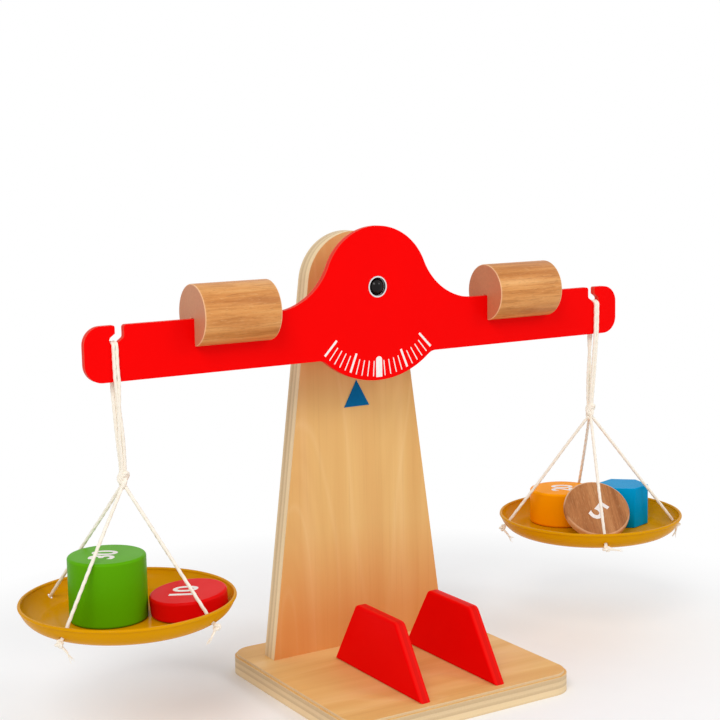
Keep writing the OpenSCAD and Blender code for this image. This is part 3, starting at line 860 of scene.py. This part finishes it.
# The red weight leans, so its number is placed from the middle of its tilted foot
RED_NUMBER_TURN, RED_NUMBER_MOVE = 50, (0, 2.0, 0)
lo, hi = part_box("red_weight")
red_low = Vector(((lo[0] + hi[0]) / 2, (lo[1] + hi[1]) / 2, 0))
pan_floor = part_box("left_pan")[0][2] + SHEET * MM
red_low.z = pan_floor + (RED_RISE + WEIGHT_R * math.sin(RED_TILT)) * MM
red_low.x += RED_H / 2 * math.sin(RED_TILT) * MM
red_top = (Matrix.Translation(red_low) @ Matrix.Rotation(-RED_TILT, 4, "Y")
           @ moved(0, 0, RED_H + NUMBER_LIFT))
number("red_weight_number", "10", "red_weight",
       red_top @ turned(RED_NUMBER_TURN) @ moved(*RED_NUMBER_MOVE))

# The disc's number lies on its slanted upper face
DISC_NUMBER_TURN, DISC_NUMBER_MOVE = -45, (0.6, -2.2)
lo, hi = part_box("wooden_disc")
disc_mid = (Vector(lo) + Vector(hi)) / 2
disc_face = (Matrix.Translation(disc_mid) @ disc_frame.to_4x4()
             @ moved(*DISC_NUMBER_MOVE, DISC_T / 2 + NUMBER_LIFT))
number("wooden_disc_number", "5", "wooden_disc", disc_face @ turned(DISC_NUMBER_TURN))


# Floor, light and camera


def direct_ray(tree):
    """1 on camera, glossy and transmission rays, else 0."""
    path = tree.nodes.new("ShaderNodeLightPath")
    seen = path.outputs["Is Camera Ray"]
    for ray in ("Is Glossy Ray", "Is Transmission Ray"):
        most = tree.nodes.new("ShaderNodeMath")
        most.operation = "MAXIMUM"
        tree.links.new(seen, most.inputs[0])
        tree.links.new(path.outputs[ray], most.inputs[1])
        seen = most.outputs[0]
    return seen


# A pale floor that fades to pure white away from the toy
FLOOR_SIDE, FLOOR_FRONT, FLOOR_BACK = 6, -5, 9
pale = Tree("pale_floor", Roughness=0.9)
pale.set("Base Color", pale.mix(pale.cloud(40), srgb(250, 250, 250), srgb(246, 246, 247)))
reach = pale.node("VectorMath", {0: pale.at}, operation="LENGTH").outputs["Value"]
far = pale.ramp(reach, (0.11, 0.0), (0.16, 0.26), (0.2, 0.4), (0.265, 0.5), (0.31, 0.74),
                (0.35, 1.0))
white = pale.math("MULTIPLY", far, direct_ray(pale.t))
glow = pale.node("Emission", {"Color": (1, 1, 1, 1), "Strength": 1.0})
both = pale.node("MixShader", {0: white, 1: pale.bsdf.outputs[0], 2: glow.outputs[0]})
pale.t.links.new(both.outputs[0], pale.t.nodes["Material Output"].inputs["Surface"])
floor_corners = [(-FLOOR_SIDE, FLOOR_FRONT, 0), (FLOOR_SIDE, FLOOR_FRONT, 0),
                 (FLOOR_SIDE, FLOOR_BACK, 0), (-FLOOR_SIDE, FLOOR_BACK, 0)]
floor = piece("floor", floor_corners, [(0, 1, 2, 3)], pale.mat, smooth=False)

# The world lights softly and shows as white: colour and strength of each
SOFT_SKY, PLAIN_WHITE = ((0.97, 0.985, 1.0, 1), 0.68), ((1, 1, 1, 1), 1.0)
world = bpy.data.worlds.new("studio")
bpy.context.scene.world = world
world.use_nodes = True
tree = world.node_tree
tree.nodes.clear()
shown = tree.nodes.new("ShaderNodeMixShader")
tree.links.new(direct_ray(tree), shown.inputs["Fac"])
for i, (color, strength) in ((1, SOFT_SKY), (2, PLAIN_WHITE)):
    sky = tree.nodes.new("ShaderNodeBackground")
    sky.inputs["Color"].default_value = color
    sky.inputs["Strength"].default_value = strength
    tree.links.new(sky.outputs[0], shown.inputs[i])
world_out = tree.nodes.new("ShaderNodeOutputWorld")
tree.links.new(shown.outputs[0], world_out.inputs["Surface"])


def lamp(name, place, aim, size, watts, color=(1, 1, 1)):
    data = bpy.data.lights.new(name, "AREA")
    data.shape = "DISK"
    data.size = size
    data.energy = watts
    data.color = color
    o = placed(name, data)
    o.location = place
    o.rotation_euler = (Vector(aim) - Vector(place)).to_track_quat("-Z", "Y").to_euler()


lamp("key_light", (-1.15, -1.15, 1.65), aim=(0, 0, 0.18), size=1.0, watts=17.0,
     color=(1.0, 0.985, 0.96))
lamp("fill_light", (1.1, -1.3, 1.3), aim=(0, 0, 0.16), size=0.6, watts=6.0)

# The photo's camera, as solved from points measured in it
AZIMUTH, ELEVATION, ROLL = math.radians(31.27), math.radians(7.81), math.radians(-1.12)
CAMERA_AT, FOCAL_PX, PHOTO_PX, SENSOR_MM = (-0.45318, -0.72690, 0.30668), 1482.3, 720, 36
fwd = Vector((math.sin(AZIMUTH) * math.cos(ELEVATION), math.cos(AZIMUTH) * math.cos(ELEVATION),
              -math.sin(ELEVATION)))
side = Vector((math.cos(AZIMUTH), -math.sin(AZIMUTH), 0))
up = side.cross(fwd)
cam_x = math.cos(ROLL) * side + math.sin(ROLL) * up
cam_y = -math.sin(ROLL) * side + math.cos(ROLL) * up
data = bpy.data.cameras.new("camera")
data.sensor_width = SENSOR_MM
data.lens = FOCAL_PX * SENSOR_MM / PHOTO_PX
data.clip_start, data.clip_end = 0.05, 50
camera = placed("camera", data)
place = Matrix((cam_x, cam_y, -fwd)).transposed().to_4x4()
place.translation = Vector(CAMERA_AT)
camera.matrix_world = place
bpy.context.scene.camera = camera
bpy.context.scene.view_settings.view_transform = "Standard"
